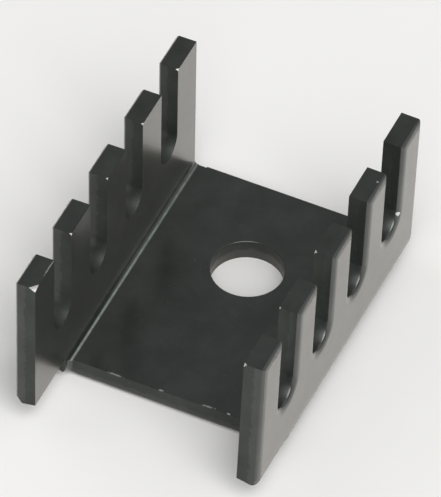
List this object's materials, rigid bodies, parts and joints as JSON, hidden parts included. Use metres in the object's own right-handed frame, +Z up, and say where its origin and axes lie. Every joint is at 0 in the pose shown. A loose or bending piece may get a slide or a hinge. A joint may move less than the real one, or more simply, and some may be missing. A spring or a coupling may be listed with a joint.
{
  "type": "transistor heat sink",
  "caption": "Folded black aluminium channel that screws to a transistor's tab, with a flat plate between upright walls slotted into fingers that shed its heat.",
  "frame": {"origin": "on the plate's underside, below the middle of the walls: the bottom centre of the bounding box", "axes": "X across the channel from wall to wall, +Y along the walls from the open front to the back, +Z up from the underside towards the finger tips"},
  "size_m": [0.0134, 0.0188, 0.0098],
  "materials": {
    "black_anodised_aluminium": "satin black anodising over bare sheet, with bright metal showing at chipped edges"
  },
  "bodies": {
    "root": {"heat_sink": "black_anodised_aluminium"}
  },
  "joints": []
}
